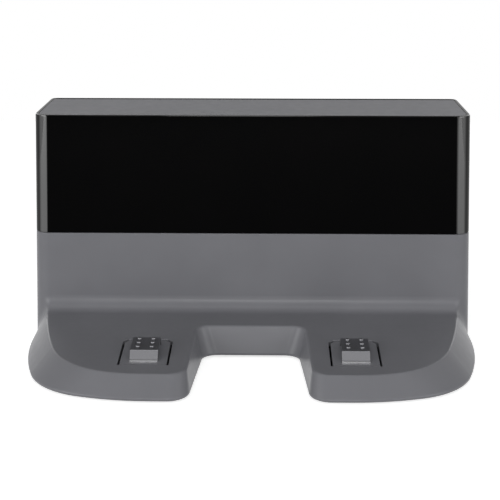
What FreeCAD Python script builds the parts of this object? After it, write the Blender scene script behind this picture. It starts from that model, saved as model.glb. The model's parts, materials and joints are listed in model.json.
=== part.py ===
"""Charging dock of a robot vacuum cleaner, in millimetres.

+Z is up and the robot drives on from -Y. The origin is on the floor, under the middle of the dock.
"""
import FreeCAD, Part
import math
import os
import types

import Sketcher

SIZES = {
    # Tower: a wide upright box whose sides lean in towards the top
    "tower_width": 202.6,
    "side_draft": 2.4,
    "total_height": 110.0,
    "tower_depth": 50.0,
    "tower_corner_radius": 7.0,
    "wall": 2.2,
    # Base platform: its top slopes down to the front, and a skirt runs round it
    "base_reach": 78.9,
    "base_height": 16.0,
    "base_slope": 4.0,
    "base_tail": 12.0,
    "base_overhang": 0.33,
    "base_wide_at": -8.0,
    "base_side_radius": 139.0,
    "base_corner_radius": 35.0,
    "base_front_radius": 114.0,
    "base_front_flat": 42.0,
    "crease_side_run": 6.8,
    "crease_wide_at": 16.6,
    "crease_side_radius": 190.0,
    "crease_corner_radius": 37.0,
    "crease_front_radius": 60.0,
    "crease_front_flat": 47.0,
    "crease_front_run": 7.7,
    "crease_radius": 1.2,
    "cove_radius": 7.0,
    "rim_radius": 1.0,
    "rim_draw_in": 1.03,
    "skirt_wall_low": 1.8,
    "skirt_wall_high": 1.2,
    # Caster notch in the middle of the base
    "notch_mouth": 26.2,
    "notch_end": 21.8,
    "notch_depth": 54.4,
    "notch_mouth_radius": 10.0,
    "notch_end_radius": 7.5,
    "notch_mouth_run": 1.2,
    "notch_end_side_run": 3.6,
    "notch_end_run": 4.1,
    "notch_mouth_crease_radius": 7.5,
    "notch_end_crease_radius": 6.0,
    # Infrared window over the upper tower
    "window_sill": 53.5,
    "window_thickness": 1.6,
    "window_gap": 0.25,
    "window_seat_gap": 0.15,
    "window_edge_radius": 0.5,
    "window_low_round": 0.3,
    "sill_edge_radius": 0.4,
    "cut_margin": 2.0,
    # Rear cover
    "cover_depth": 4.0,
    "cover_corner_radius": 3.5,
    "cover_edge_radius": 0.8,
    "seam_gap": 0.15,
    "cover_pocket_radius": 2.0,
    "vent_half_width": 0.9,
    "vent_round": 0.8,
    "vent_half_height": 9.0,
    "vent_height": 80.0,
    "vent_row": 96.0,
    "vent_count": 17,
    # Base plate and feet
    "foot_height": 1.0,
    "plate_recess": 0.4,
    "plate_thickness": 2.2,
    "plate_share": 0.48,
    "plate_gap": 0.6,
    "foot_radius": 7.0,
    "foot_seat_depth": 1.0,
    "foot_seat_gap": 0.2,
    "foot_edge_radius": 0.8,
    "foot_front_x": 64.0,
    "foot_front_at": -62.0,
    "foot_rear_x": 86.0,
    "foot_rear_at": 34.0,
    # Screws and the bosses that take them
    "screw_shank_radius": 1.4,
    "screw_head_radius": 2.6,
    "screw_head_height": 1.6,
    "screw_length": 6.5,
    "screw_seat_depth": 1.3,
    "screw_head_round": 0.5,
    "screw_hole_gap": 0.05,
    "screw_pass_gap": 0.25,
    "screw_head_gap": 0.4,
    "screw_pilot_spare": 0.8,
    "recess_half_length": 1.6,
    "recess_half_width": 0.35,
    "recess_depth": 0.9,
    "boss_radius": 3.2,
    "post_radius": 3.8,
    "front_screw_x": 81.0,
    "front_screw_at": -44.0,
    "middle_screw_x": 34.0,
    "middle_screw_at": -10.0,
    "wall_screw_x": 88.0,
    "wall_screw_at": 4.6,
    "wall_boss_top": 24.0,
    "rear_screw_x": 86.0,
    "rear_screw_low": 38.0,
    "rear_screw_drop": 14.0,
    # Charging contacts: flaps hinged at their front edge
    "contact_x": 46.5,
    "flap_width": 20.6,
    "flap_side_gap": 0.9,
    "flap_front": -62.1,
    "flap_front_gap": 0.35,
    "flap_rear": -37.0,
    "flap_rear_gap": 1.1,
    "flap_corner_cut": 2.2,
    "flap_edge_radius": 0.3,
    "flap_thickness": 2.2,
    "pivot_at": -64.6,
    "pivot_drop": 4.9,
    "pin_radius": 1.0,
    "pin_run_gap": 0.05,
    "pin_press_gap": 0.02,
    "barrel_radius": 2.2,
    "ear_gap": 0.6,
    "ear_thickness": 2.6,
    "ear_half_length": 2.1,
    "ear_foot": 2.4,
    "catch_length": 4.6,
    "catch_height": 1.4,
    "catch_width": 3.5,
    "catch_x": 7.4,
    "catch_root": 3.0,
    "catch_gap": 0.4,
    "stop_radius": 1.5,
    "stop_at": -50.0,
    "stop_top": 8.0,
    # Contact plate: bent sheet over a block on the flap
    "sheet": 0.5,
    "sheet_bend": 0.9,
    "contact_width": 12.3,
    "contact_rise": 3.7,
    "contact_front": -55.0,
    "contact_foot": -58.2,
    "contact_flange": 1.2,
    "contact_rear": -41.2,
    "contact_seat_gap": 0.05,
    "block_side_inset": 0.4,
    "bump_radius": 1.0,
    "bump_height": 0.55,
    "bump_round": 0.45,
    "bump_x": 3.1,
    "bump_pitch": 4.1,
    "bump_middle": -47.3,
    # Leaf spring under each flap
    "leaf_thickness": 0.4,
    "leaf_width": 6.0,
    "leaf_tail": -17.0,
    "leaf_bend": -29.0,
    "leaf_nose": -41.5,
    "leaf_end": -45.0,
    "leaf_gap": 0.1,
    "leaf_end_drop": 1.2,
    "leaf_radius": 1.5,
    "peg_radius": 0.95,
    "peg_gap": 0.05,
    "peg_at": -26.0,
    "peg_head": 0.4,
    # Infrared board, emitters and shroud
    "eye_drop": 26.0,
    "eye_near_x": 15.0,
    "eye_far_x": 45.0,
    "aperture_half_width": 55.0,
    "aperture_half_height": 7.0,
    "aperture_radius": 3.0,
    "shroud_gap": 0.3,
    "shroud_lip": 3.0,
    "shroud_lip_thickness": 1.5,
    "shroud_bore_gap": 0.2,
    "shroud_mouth_radius": 5.0,
    "shroud_mouth_depth": 4.5,
    "board_thickness": 1.6,
    "board_stand": 8.0,
    "eye_board_half_width": 68.0,
    "eye_board_half_height": 11.0,
    "eye_post_x": 63.0,
    "emitter_radius": 2.5,
    "emitter_barrel": 5.0,
    "emitter_flange_radius": 2.9,
    "emitter_flange": 1.0,
    "emitter_dome": 2.4,
    # Supply board and what it carries
    "supply_half_width": 52.0,
    "supply_half_height": 19.0,
    "supply_height": 34.0,
    "supply_stand": 4.0,
    "supply_hole_inset": 4.0,
    "supply_post_radius": 3.0,
    "transformer_x": 2.0,
    "core_leg": 3.2,
    "core_window": 6.0,
    "core_half_height": 11.0,
    "core_depth": 9.0,
    "winding_half_depth": 9.5,
    "winding_gap": 0.6,
    "winding_round": 3.0,
    "mains_capacitor_x": -27.0,
    "mains_capacitor_radius": 6.3,
    "mains_capacitor_length": 21.0,
    "output_capacitor_x": 26.0,
    "output_capacitor_radius": 4.0,
    "output_capacitor_length": 12.5,
    "capacitor_groove": 0.5,
    "capacitor_seal": 2.4,
    "capacitor_round": 0.8,
    "choke_x": -42.0,
    "choke_radius": 5.0,
    "choke_waist": 3.4,
    "choke_length": 10.0,
    "choke_flange": 1.6,
    "fuse_x": 34.0,
    "fuse_height": 46.0,
    "fuse_radius": 2.6,
    "fuse_half_length": 9.0,
    "fuse_cap": 4.5,
    "fuse_waist": 2.2,
    "component_gap": 0.1,
    # Two-pole mains inlet in the rear cover
    "inlet_x": 76.0,
    "inlet_height": 22.0,
    "inlet_half_width": 11.5,
    "inlet_half_height": 7.0,
    "inlet_corner_radius": 2.0,
    "inlet_depth": 17.0,
    "inlet_recess": 0.2,
    "inlet_flange": 1.8,
    "inlet_flange_thickness": 1.5,
    "inlet_fit_gap": 0.15,
    "inlet_socket_half_width": 8.5,
    "inlet_socket_half_height": 4.3,
    "inlet_socket_radius": 4.0,
    "inlet_socket_depth": 13.0,
    "inlet_pin_x": 4.3,
    "inlet_pin_radius": 1.2,
    "inlet_pin_round": 0.8,
    "inlet_pin_reach": 9.0,
    "inlet_tab": 5.0,
    # Leads held inside the housing
    "lead_radius": 0.8,
    "lead_rest_gap": 0.1,
    "lead_bend": 4.0,
    "lead_start": -20.0,
    "lead_rise_at": 30.0,
    "contact_lead_end": 26.0,
    "signal_lead_x": 14.0,
    "signal_lead_start": 50.0,
    "signal_lead_drop": 6.0,
    "signal_lead_at": 27.0,
    "inlet_lead_outer_at": 16.0,
    "inlet_lead_inner_at": 22.0,
    "inlet_lead_outer_x": 36.0,
    "inlet_lead_inner_x": 42.0,
}

doc = FreeCAD.newDocument("charging_dock")
sheet = doc.addObject("Spreadsheet::Sheet", "dims")
for row, (alias, number) in enumerate(SIZES.items(), start=1):
    sheet.set(f"A{row}", alias.replace("_", " "))
    sheet.set(f"B{row}", str(number))
    sheet.setAlias(f"B{row}", alias)
doc.recompute()


class Size:
    """A number together with the sheet expression that yields it."""

    def __init__(self, value, text):
        self.value = value
        self.text = text

    def __add__(self, other):
        other = to_size(other)
        return Size(self.value + other.value, f"({self.text} + {other.text})")

    def __sub__(self, other):
        other = to_size(other)
        return Size(self.value - other.value, f"({self.text} - {other.text})")

    def __mul__(self, other):
        other = to_size(other)
        return Size(self.value * other.value, f"({self.text} * {other.text})")

    def __truediv__(self, other):
        other = to_size(other)
        return Size(self.value / other.value, f"({self.text} / {other.text})")

    def __neg__(self):
        return Size(-self.value, f"(-{self.text})")


def to_size(number):
    return number if isinstance(number, Size) else Size(float(number), str(number))


def tangent(angle):
    return Size(math.tan(math.radians(angle.value)), f"tan({angle.text})")


def sine(angle):
    return Size(math.sin(math.radians(angle.value)), f"sin({angle.text})")


def cosine(angle):
    return Size(math.cos(math.radians(angle.value)), f"cos({angle.text})")


dim = types.SimpleNamespace(**{alias: Size(float(sheet.get(alias)), f"dims.{alias}") for alias in SIZES})
ZERO = to_size(0)
SIDES = {"left": to_size(-1), "right": to_size(1)}

# Places that several pieces share
nose_reach = dim.base_reach - dim.rim_draw_in
tower_front = (nose_reach - dim.tower_depth) / 2
back = (nose_reach + dim.tower_depth) / 2
seam = back - dim.cover_depth
seam_at = dim.tower_depth - dim.cover_depth
rim = dim.foot_height
plate_low = rim + dim.plate_recess
plate_top = plate_low + dim.plate_thickness
window_recess = dim.window_thickness + dim.window_gap
upper_inset = window_recess + dim.wall
base_fall = tangent(dim.base_slope)
pilot_radius = dim.screw_shank_radius + dim.screw_hole_gap
pass_radius = dim.screw_shank_radius + dim.screw_pass_gap
head_seat_radius = dim.screw_head_radius + dim.screw_head_gap
flap_half = dim.flap_width / 2
supply_face = seam_at - dim.supply_stand - dim.board_thickness
eye_face = upper_inset + dim.board_stand
eye_height = dim.total_height - dim.eye_drop
supply_screw_x = dim.supply_half_width - dim.supply_hole_inset
tab_end = back - dim.inlet_recess - dim.inlet_depth - dim.inlet_tab


def half_width(height):
    """Half the tower's outer width at a height."""
    return dim.tower_width / 2 + (dim.total_height - height) * tangent(dim.side_draft)


def base_top(at):
    """Height of the base's top plane at a distance behind the tower front."""
    return dim.base_height + at * base_fall


# Sketching


def new_body(label):
    body = doc.addObject("PartDesign::Body", label)
    body.Label = label
    body.AllowCompound = True
    return body


def new_sketch(body, name, plane, at, tilt=None):
    """Sketch on an origin plane, moved to a point; a tilt turns it to the slope of the base."""
    sketch = body.newObject("Sketcher::SketchObject", f"{body.Name}_{name}")
    origin_plane = next(item for item in body.Origin.OriginFeatures if item.Role == plane)
    sketch.AttachmentSupport = [(origin_plane, "")]
    sketch.MapMode = "FlatFace"
    x, y, z = (to_size(part) for part in at)
    offsets = {"XY_Plane": (x, y, z), "XZ_Plane": (x, z, -y), "YZ_Plane": (y, z, x)}[plane]
    turn_axis = {"XY_Plane": (1, 0, 0), "XZ_Plane": (1, 0, 0), "YZ_Plane": (0, 0, 1)}[plane]
    angle = tilt.value if tilt else 0
    place = FreeCAD.Vector(*(offset.value for offset in offsets))
    sketch.AttachmentOffset = FreeCAD.Placement(place, FreeCAD.Rotation(FreeCAD.Vector(*turn_axis), angle))
    for axis, offset in zip("xyz", offsets):
        sketch.setExpression(f"AttachmentOffset.Base.{axis}", offset.text)
    if tilt:
        sketch.setExpression("AttachmentOffset.Rotation.Angle", tilt.text)
    return sketch


def bind(sketch, constraint, size):
    index = sketch.addConstraint(constraint)
    sketch.setExpression(f"Constraints[{index}]", size.text)


def place_along(sketch, kind, geometry, end, size):
    """Fix one coordinate of a point, measured from the sketch's origin."""
    if size is ZERO:
        axis = -2 if kind == "DistanceX" else -1
        sketch.addConstraint(Sketcher.Constraint("PointOnObject", geometry, end, axis))
    elif size.value < 0:
        bind(sketch, Sketcher.Constraint(kind, geometry, end, -1, 1, -size.value), -size)
    else:
        bind(sketch, Sketcher.Constraint(kind, -1, 1, geometry, end, size.value), size)


def place(sketch, geometry, end, x, y):
    place_along(sketch, "DistanceX", geometry, end, x)
    place_along(sketch, "DistanceY", geometry, end, y)


def add_line(sketch, start, end):
    line = Part.LineSegment(FreeCAD.Vector(*start, 0), FreeCAD.Vector(*end, 0))
    return sketch.addGeometry(line, False), 1, 2


def add_arc(sketch, centre, start, end, radius):
    """Arc the short way from start to end, as its id and the marks of those two ends."""
    first = math.atan2(start[1] - centre[1], start[0] - centre[0])
    last = math.atan2(end[1] - centre[1], end[0] - centre[0])
    circle = Part.Circle(FreeCAD.Vector(*centre, 0), FreeCAD.Vector(0, 0, 1), radius.value)
    forward = (last - first) % (2 * math.pi) <= math.pi
    arc = Part.ArcOfCircle(circle, first, last) if forward else Part.ArcOfCircle(circle, last, first)
    geometry = sketch.addGeometry(arc, False)
    bind(sketch, Sketcher.Constraint("Radius", geometry, radius.value), radius)
    return (geometry, 1, 2) if forward else (geometry, 2, 1)


def join(sketch, kind, before, after):
    sketch.addConstraint(Sketcher.Constraint(kind, before[0], before[2], after[0], after[1]))


def add_guide(sketch, x, y, curves):
    """Construction point at (x, y) that the given curves run through."""
    point = sketch.addGeometry(Part.Point(FreeCAD.Vector(x.value, y.value, 0)), True)
    for curve in curves:
        sketch.addConstraint(Sketcher.Constraint("PointOnObject", point, 1, curve[0]))
    place(sketch, point, 1, x, y)


def toward(start, end):
    length = math.hypot(end[0] - start[0], end[1] - start[1])
    return (end[0] - start[0]) / length, (end[1] - start[1]) / length


def along(start, direction, distance):
    return start[0] + direction[0] * distance, start[1] + direction[1] * distance


def round_corner(before, corner, after, radius):
    """Centre and the two touching points of a rounded corner."""
    back_way = toward(corner, before)
    forth_way = toward(corner, after)
    half = math.acos(back_way[0] * forth_way[0] + back_way[1] * forth_way[1]) / 2
    reach = radius / math.tan(half)
    middle = toward((0, 0), (back_way[0] + forth_way[0], back_way[1] + forth_way[1]))
    return along(corner, middle, radius / math.sin(half)), along(corner, back_way, reach), along(
        corner, forth_way, reach)


def outline(sketch, corners):
    """Closed outline through corners (x, y) or, where the corner is rounded, (x, y, radius)."""
    corners = [tuple(to_size(part) for part in corner) for corner in corners]
    corners = [tuple(ZERO if part.text == "0" else part for part in corner) for corner in corners]
    points = [(corner[0].value, corner[1].value) for corner in corners]
    count = len(corners)
    rounds = []
    for index, corner in enumerate(corners):
        before, after = points[index - 1], points[(index + 1) % count]
        if len(corner) > 2:
            rounds.append(round_corner(before, points[index], after, corner[2].value))
        else:
            rounds.append((None, points[index], points[index]))
    lines = [add_line(sketch, rounds[index][2], rounds[(index + 1) % count][1]) for index in range(count)]
    for index, corner in enumerate(corners):
        before, after = lines[index - 1], lines[index]
        if len(corner) > 2:
            arc = add_arc(sketch, *rounds[index], corner[2])
            join(sketch, "Tangent", before, arc)
            join(sketch, "Tangent", arc, after)
            add_guide(sketch, corner[0], corner[1], (before, after))
        else:
            join(sketch, "Coincident", before, after)
            place(sketch, after[0], after[1], corner[0], corner[1])


def open_path(sketch, corners, bend):
    """Open path through corners (x, y), with each inner corner rounded to the same bend."""
    points = [(corner[0].value, corner[1].value) for corner in corners]
    bends = [round_corner(*points[index - 1:index + 2], bend.value) for index in range(1, len(points) - 1)]
    starts = [points[0]] + [turn[2] for turn in bends]
    ends = [turn[1] for turn in bends] + [points[-1]]
    lines = [add_line(sketch, start, end) for start, end in zip(starts, ends)]
    for turn, corner, before, after in zip(bends, corners[1:], lines, lines[1:]):
        arc = add_arc(sketch, *turn, bend)
        join(sketch, "Tangent", before, arc)
        join(sketch, "Tangent", arc, after)
        add_guide(sketch, corner[0], corner[1], (before, after))
    place(sketch, lines[0][0], lines[0][1], *corners[0])
    place(sketch, lines[-1][0], lines[-1][2], *corners[-1])


def circle(sketch, x, y, radius):
    x, y = (ZERO if part.text == "0" else part for part in (to_size(x), to_size(y)))
    ring = Part.Circle(FreeCAD.Vector(x.value, y.value, 0), FreeCAD.Vector(0, 0, 1), radius.value)
    geometry = sketch.addGeometry(ring, False)
    bind(sketch, Sketcher.Constraint("Radius", geometry, radius.value), radius)
    place(sketch, geometry, 3, x, y)


def circle_pair(sketch, x, y, radius):
    """Circle on the right and its mirror image on the left."""
    for side in SIDES.values():
        circle(sketch, x * side, y, radius)


def box_corners(low_x, low_y, high_x, high_y, radius=None):
    rounding = () if radius is None else (radius,)
    return [(low_x, low_y, *rounding), (high_x, low_y, *rounding),
            (high_x, high_y, *rounding), (low_x, high_y, *rounding)]


# Features


def extrude(body, kind, sketch, length, backwards=False, both_ways=False):
    feature = body.newObject(f"PartDesign::{kind}", f"{sketch.Name}_{kind.lower()}")
    feature.Profile = sketch
    feature.setExpression("Length", length.text)
    feature.Reversed = backwards
    if both_ways:
        feature.SideType = "Symmetric"
    doc.recompute()
    return feature


def pad(body, sketch, length, **options):
    return extrude(body, "Pad", sketch, length, **options)


def pocket(body, sketch, length, **options):
    before = len(body.Shape.Faces)
    feature = extrude(body, "Pocket", sketch, length, **options)
    if len(body.Shape.Faces) == before:
        raise RuntimeError(f"{feature.Name} removes nothing")
    return feature


def loft(body, kind, low, high):
    """Ruled form between two sketches, made downwards so that its faces point outwards."""
    feature = body.newObject(f"PartDesign::{kind}", f"{low.Name}_loft")
    feature.Profile = high
    feature.Sections = [low]
    feature.Ruled = True
    doc.recompute()
    return feature


def revolve(body, sketch, axis="V_Axis"):
    feature = body.newObject("PartDesign::Revolution", f"{sketch.Name}_turned")
    feature.Profile = sketch
    feature.ReferenceAxis = (sketch, [axis])
    doc.recompute()
    return feature


def soften(body, kind, chosen, size, name):
    """Fillet or chamfer on every edge whose sample points are all chosen."""
    base = body.Tip
    numbered = enumerate(base.Shape.Edges, start=1)
    edges = [f"Edge{number}" for number, edge in numbered if chosen(samples(edge))]
    if not edges:
        raise RuntimeError(f"{body.Label} has no edges for {name}")
    feature = body.newObject(f"PartDesign::{kind}", f"{body.Name}_{name}")
    feature.Base = (base, edges)
    feature.setExpression("Radius" if kind == "Fillet" else "Size", size.text)
    doc.recompute()
    return feature


def samples(edge, count=5):
    span = edge.LastParameter - edge.FirstParameter
    return [edge.valueAt(edge.FirstParameter + span * step / (count - 1)) for step in range(count)]


NEAR = 0.02


def close(first, second):
    return abs(first - second) < NEAR


# Outline of the base, with its rounded front corners and the caster notch


class BaseLine:
    """Driving sizes of one closed line round the base, a share of the way from the rim to the crease."""

    def __init__(self, share):
        def between(low, crease):
            return low + (crease - low) * share

        notch_back = dim.notch_depth - dim.base_reach
        base_wide = half_width(rim) + dim.base_overhang
        self.wide = between(base_wide, base_wide - dim.crease_side_run)
        self.wide_at = between(dim.base_wide_at, dim.crease_wide_at)
        self.side_radius = between(dim.base_side_radius, dim.crease_side_radius)
        self.corner_radius = between(dim.base_corner_radius, dim.crease_corner_radius)
        self.front_radius = between(dim.base_front_radius, dim.crease_front_radius)
        self.front_flat = between(dim.base_front_flat, dim.crease_front_flat)
        self.front = between(-dim.base_reach, dim.crease_front_run - dim.base_reach)
        self.mouth = between(dim.notch_mouth, dim.notch_mouth + dim.notch_mouth_run)
        self.end = between(dim.notch_end, dim.notch_end + dim.notch_end_side_run)
        self.notch_back = between(notch_back, notch_back + dim.notch_end_run)
        self.mouth_radius = between(dim.notch_mouth_radius, dim.notch_mouth_crease_radius)
        self.end_radius = between(dim.notch_end_radius, dim.notch_end_crease_radius)


def meeting_point(first, first_reach, second, second_reach):
    """Lower of the two points at the given distances from two centres."""
    gap = math.hypot(second[0] - first[0], second[1] - first[1])
    run = (first_reach ** 2 - second_reach ** 2 + gap ** 2) / (2 * gap)
    rise = math.sqrt(first_reach ** 2 - run ** 2)
    way = toward(first, second)
    foot = along(first, way, run)
    options = [along(foot, (-way[1], way[0]), rise), along(foot, (way[1], -way[0]), rise)]
    return min(options, key=lambda point: point[1])


def half_base_line(sketch, line, inset, side, tail, straight_tail):
    """One side of the line, from the end of the notch round to the tail, as joined curves."""
    sign = side.value

    def seen(point):
        return sign * point[0], point[1]

    side_centre = (line.wide.value - line.side_radius.value, line.wide_at.value)
    front_centre = (line.front_flat.value, line.front.value + line.front_radius.value)
    corner_centre = meeting_point(
        side_centre, line.side_radius.value - line.corner_radius.value,
        front_centre, line.front_radius.value - line.corner_radius.value)
    side_r = line.side_radius - inset
    corner_r = line.corner_radius - inset
    front_r = line.front_radius - inset
    front = line.front + inset
    notch_back = line.notch_back + inset
    mouth = line.mouth + inset
    end = line.end + inset
    front_end = (line.front_flat.value, front.value)
    corner_front = along(corner_centre, toward(front_centre, corner_centre), corner_r.value)
    corner_side = along(corner_centre, toward(side_centre, corner_centre), corner_r.value)
    side_end_at = line.wide_at.value if straight_tail else tail.value
    side_reach = math.sqrt(side_r.value ** 2 - (side_end_at - side_centre[1]) ** 2)
    side_end = (side_centre[0] + side_reach, side_end_at)
    mouth_point = (mouth.value, front.value)
    end_point = (end.value, notch_back.value)
    mouth_r = line.mouth_radius - inset
    end_r = line.end_radius + inset
    end_round = round_corner((0, end_point[1]), end_point, mouth_point, end_r.value)
    mouth_round = round_corner(end_point, mouth_point, front_end, mouth_r.value)

    end_arc = add_arc(sketch, *(seen(point) for point in end_round), end_r)
    notch_side = add_line(sketch, seen(end_round[2]), seen(mouth_round[1]))
    mouth_arc = add_arc(sketch, *(seen(point) for point in mouth_round), mouth_r)
    front_line = add_line(sketch, seen(mouth_round[2]), seen(front_end))
    front_arc = add_arc(sketch, seen(front_centre), seen(front_end), seen(corner_front), front_r)
    corner_arc = add_arc(sketch, seen(corner_centre), seen(corner_front), seen(corner_side), corner_r)
    side_arc = add_arc(sketch, seen(side_centre), seen(corner_side), seen(side_end), side_r)
    curves = [end_arc, notch_side, mouth_arc, front_line, front_arc, corner_arc, side_arc]
    if straight_tail:
        curves.append(add_line(sketch, seen(side_end), seen((side_end[0], tail.value))))
    for before, after in zip(curves, curves[1:]):
        join(sketch, "Tangent", before, after)
    sketch.addConstraint(Sketcher.Constraint("Horizontal", front_line[0]))
    place(sketch, front_line[0], front_line[2], line.front_flat * side, front)
    place(sketch, side_arc[0], 3, (line.wide - line.side_radius) * side, line.wide_at)
    if straight_tail:
        sketch.addConstraint(Sketcher.Constraint("Vertical", curves[-1][0]))
    place_along(sketch, "DistanceY", curves[-1][0], curves[-1][2], tail)
    add_guide(sketch, mouth * side, front, (notch_side,))
    add_guide(sketch, end * side, notch_back, (notch_side,))
    return curves, end_round[1]


def base_line(sketch, line, inset, tail, straight_tail=False):
    """The whole closed line: notch end, right side, tail and left side."""
    right, right_start = half_base_line(sketch, line, inset, SIDES["right"], tail, straight_tail)
    left, _ = half_base_line(sketch, line, inset, SIDES["left"], tail, straight_tail)
    notch_line = add_line(sketch, (-right_start[0], right_start[1]), right_start)
    tail_ends = [sketch.getPoint(curves[-1][0], curves[-1][2]) for curves in (right, left)]
    tail_line = add_line(sketch, *((point.x, point.y) for point in tail_ends))
    join(sketch, "Tangent", notch_line, right[0])
    sketch.addConstraint(Sketcher.Constraint("Tangent", notch_line[0], notch_line[1], left[0][0], left[0][1]))
    sketch.addConstraint(Sketcher.Constraint("Horizontal", notch_line[0]))
    end_level = line.notch_back + inset
    place_along(sketch, "DistanceY", notch_line[0], notch_line[1], end_level)
    join(sketch, "Coincident", right[-1], tail_line)
    left_tail, _, left_end = left[-1]
    sketch.addConstraint(Sketcher.Constraint("Coincident", tail_line[0], tail_line[2], left_tail, left_end))


LOW_LINE = BaseLine(to_size(0))
PLATE_LINE = BaseLine(dim.plate_share)
CREASE_LINE = BaseLine(to_size(1))


def base_form(body, kind, name, low, low_inset, high_inset, top_drop):
    """Ruled skirt between the line at the rim and the crease on the sloping top."""
    foot = new_sketch(body, f"{name}_low", "XY_Plane", (ZERO, tower_front, low))
    base_line(foot, LOW_LINE, low_inset, dim.base_tail)
    crease = new_sketch(body, f"{name}_crease", "XY_Plane",
                      (ZERO, tower_front, dim.base_height - top_drop), tilt=dim.base_slope)
    base_line(crease, CREASE_LINE, high_inset, dim.base_tail)
    return loft(body, kind, foot, crease)


def tower_form(body, kind, name, inset, low, high, tail):
    """Leaning block with rounded front corners, its surface inset from the outside of the tower."""
    sketches = []
    for level, height in (("low", low), ("high", high)):
        sketch = new_sketch(body, f"{name}_{level}", "XY_Plane", (ZERO, tower_front, height))
        half = half_width(height) - inset
        radius = dim.tower_corner_radius - inset
        outline(sketch, [(half, tail), (-half, tail), (-half, inset, radius), (half, inset, radius)])
        sketches.append(sketch)
    return loft(body, kind, *sketches)


def band_form(body, kind, name, outer_inset, inner_inset, low, high, tail):
    """Leaning C-shaped band round the front and sides of the tower."""
    sketches = []
    for level, height in (("low", low), ("high", high)):
        sketch = new_sketch(body, f"{name}_{level}", "XY_Plane", (ZERO, tower_front, height))
        outer = half_width(height) - outer_inset
        inner = half_width(height) - inner_inset
        outer_radius = dim.tower_corner_radius - outer_inset
        inner_radius = dim.tower_corner_radius - inner_inset
        outline(sketch, [
            (outer, tail), (inner, tail),
            (inner, inner_inset, inner_radius), (-inner, inner_inset, inner_radius),
            (-inner, tail), (-outer, tail),
            (-outer, outer_inset, outer_radius), (outer, outer_inset, outer_radius)])
        sketches.append(sketch)
    return loft(body, kind, *sketches)


def on_base_top(point):
    return close(point.z, base_top(to_size(point.y - tower_front.value)).value)


def in_cove(point):
    """On the tower's front or its rounded front corners, no higher than the base."""
    radius = dim.tower_corner_radius.value
    centre_x = half_width(to_size(point.z)).value - radius
    depth = point.y - tower_front.value
    across = abs(point.x) - centre_x
    on_front = close(depth, 0) and across < NEAR
    on_corner = across > -NEAR and depth < radius and close(math.hypot(across, depth - radius), radius)
    return (on_front or on_corner) and point.z < dim.base_height.value + NEAR


def front_housing():
    """Grey shell: tower, top, base, skirt and notch, with its openings and bosses."""
    body = new_body("front_housing")
    base_form(body, "AdditiveLoft", "base", rim, ZERO, ZERO, ZERO)
    tail_end = tower_front.value + dim.base_tail.value * cosine(dim.base_slope).value
    soften(body, "Fillet", lambda points: all(on_base_top(point) for point in points)
           and not all(close(point.y, tail_end) for point in points), dim.crease_radius, "crease_round")
    tower_form(body, "AdditiveLoft", "tower", ZERO, rim, dim.total_height, seam_at)
    soften(body, "Fillet", lambda points: all(in_cove(point) for point in points)
           and not all(close(point.z, rim.value) for point in points)
           and abs(points[0].z - points[-1].z) < dim.base_height.value
           and math.hypot(points[0].x - points[-1].x, points[0].y - points[-1].y) > dim.wall.value / 10,
           dim.cove_radius, "cove")
    soften(body, "Fillet", lambda points: all(close(point.z, rim.value) for point in points)
           and not all(close(point.y, seam.value) for point in points), dim.rim_radius, "rim_round")
    band_form(body, "SubtractiveLoft", "window_recess", -dim.cut_margin, window_recess,
              dim.window_sill, dim.total_height + dim.cut_margin, seam_at + dim.cut_margin)
    soften(body, "Fillet", lambda points: all(close(point.z, dim.window_sill.value) for point in points)
           and all(on_tower_skin(point) for point in points), dim.sill_edge_radius, "sill_round")
    room_low = rim - dim.cut_margin
    base_form(body, "SubtractiveLoft", "base_room", room_low,
              dim.skirt_wall_low, dim.skirt_wall_high, dim.wall)
    tower_form(body, "SubtractiveLoft", "low_room", dim.wall, room_low, dim.window_sill - dim.wall,
               seam_at + dim.cut_margin)
    tower_form(body, "SubtractiveLoft", "high_room", upper_inset, room_low, dim.total_height - dim.wall,
               seam_at + dim.cut_margin)
    housing_openings(body)
    housing_bosses(body)
    return body


def on_tower_skin(point):
    """On the outer face of the tower, in front of the seam."""
    radius = dim.tower_corner_radius.value
    half = half_width(to_size(point.z)).value
    depth = point.y - tower_front.value
    across = abs(point.x) - half + radius
    on_side = close(abs(point.x), half) and depth > radius - NEAR
    on_front = close(depth, 0) and across < NEAR
    on_corner = across > -NEAR and depth < radius + NEAR and close(math.hypot(across, depth - radius), radius)
    return on_side or on_front or on_corner


def housing_openings(body):
    """Slots round the contact flaps, and the eye opening behind the window."""
    opening_half = flap_half + dim.flap_side_gap
    front = dim.flap_front - dim.flap_front_gap
    rear = dim.flap_rear + dim.flap_rear_gap
    cut = dim.flap_corner_cut
    for name, side in SIDES.items():
        sketch = new_sketch(body, f"flap_opening_{name}", "XY_Plane",
                            (dim.contact_x * side, tower_front, dim.base_height), tilt=dim.base_slope)
        outline(sketch, [
            (-opening_half, front), (opening_half, front), (opening_half, rear - cut),
            (opening_half - cut, rear), (cut - opening_half, rear), (-opening_half, rear - cut)])
        pocket(body, sketch, dim.wall + dim.catch_gap)

    def at_slot(point):
        across = abs(abs(point.x) - dim.contact_x.value)
        inside = across < opening_half.value + NEAR and front.value - NEAR < run_of(point) < rear.value + NEAR
        return inside and close(rise_of(point), 0)

    soften(body, "Fillet", lambda points: all(at_slot(point) for point in points)
           and not all(close(run_of(point), front.value) for point in points),
           dim.flap_edge_radius, "slot_round")
    sketch = new_sketch(body, "eye_opening", "XZ_Plane", (ZERO, tower_front, eye_height))
    outline(sketch, box_corners(-dim.aperture_half_width, -dim.aperture_half_height,
                                dim.aperture_half_width, dim.aperture_half_height, dim.aperture_radius))
    pocket(body, sketch, upper_inset + dim.window_gap)


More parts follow.
